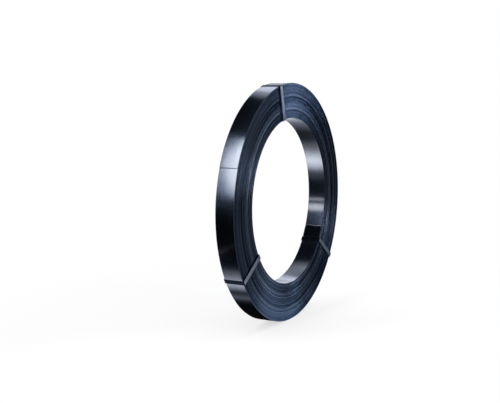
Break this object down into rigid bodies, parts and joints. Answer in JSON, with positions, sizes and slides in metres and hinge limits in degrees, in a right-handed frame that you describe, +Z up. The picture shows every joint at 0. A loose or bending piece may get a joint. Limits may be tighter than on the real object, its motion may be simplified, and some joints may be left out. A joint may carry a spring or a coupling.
{
  "type": "steel strapping coil",
  "caption": "Ring-shaped coil of blued steel strapping, wound edge to edge, held by three narrow steel tie bands looped round its section.",
  "frame": {"origin": "centre of the bore, at the middle of the strap's width", "axes": "Y along the bore axis, with the face that the picture shows towards -Y; +Z up, and the coil stands on its rim"},
  "size_m": [0.4016, 0.037, 0.4024],
  "materials": {
    "blued_steel": "blued and waxed, glossy on the flats",
    "tie_steel": "blued, satin"
  },
  "bodies": {
    "root": {"strap_coil": "blued_steel", "tie_band_top": "tie_steel", "tie_band_lower_left": "tie_steel", "tie_band_lower_right": "tie_steel"}
  },
  "joints": []
}
